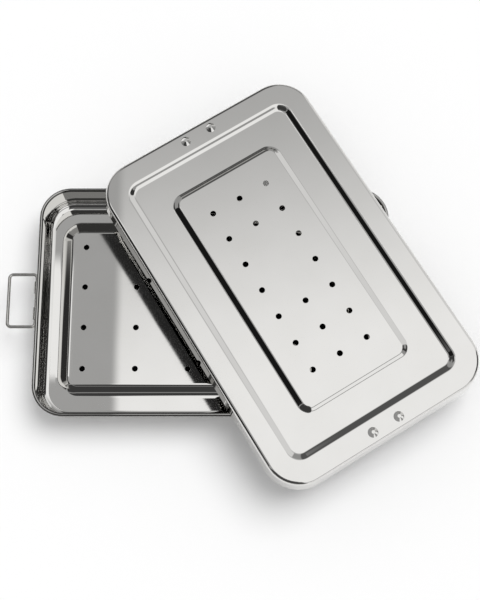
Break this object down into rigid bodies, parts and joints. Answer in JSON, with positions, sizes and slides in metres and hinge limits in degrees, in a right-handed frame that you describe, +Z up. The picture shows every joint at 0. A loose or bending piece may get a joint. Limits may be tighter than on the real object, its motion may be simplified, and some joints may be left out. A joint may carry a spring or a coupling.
{
  "type": "sterilization container",
  "caption": "Shallow pressed-steel sterilization tray with raised perforated floor, hinged wire bails and a perforated lift-off lid.",
  "frame": {"origin": "centre of the tray in plan, at the level that the tray's foot ring stands on", "axes": "+Z up, +X along the tray's long side towards the right bail, +Y towards the tray's far long side"},
  "size_m": [0.313, 0.2781, 0.0419],
  "materials": {
    "tray_steel": "mirror-polished stainless sheet",
    "lid_steel": "mirror-polished stainless sheet",
    "wire_steel": "bright drawn stainless wire",
    "clip_steel": "bright rolled stainless strip"
  },
  "bodies": {
    "tray": {"tray": "tray_steel", "left_front_clip": "clip_steel", "left_rear_clip": "clip_steel", "right_front_clip": "clip_steel", "right_rear_clip": "clip_steel"},
    "lid": {"lid": "lid_steel"},
    "left_bail": {"left_bail": "wire_steel"},
    "right_bail": {"right_bail": "wire_steel"}
  },
  "joints": [
    {"name": "lid_lift", "type": "slide", "parent": "tray", "child": "lid", "axis": [0, 0, 1], "range_m": [0, 0.06]},
    {"name": "left_bail_hinge", "type": "hinge", "parent": "tray", "child": "left_bail", "pos_m": [-0.11953, 0, 0.0208], "axis": [0, 1, 0], "range_deg": [-70, 75]},
    {"name": "right_bail_hinge", "type": "hinge", "parent": "tray", "child": "right_bail", "pos_m": [0.11953, 0, 0.0208], "axis": [0, -1, 0], "range_deg": [-70, 10]}
  ]
}
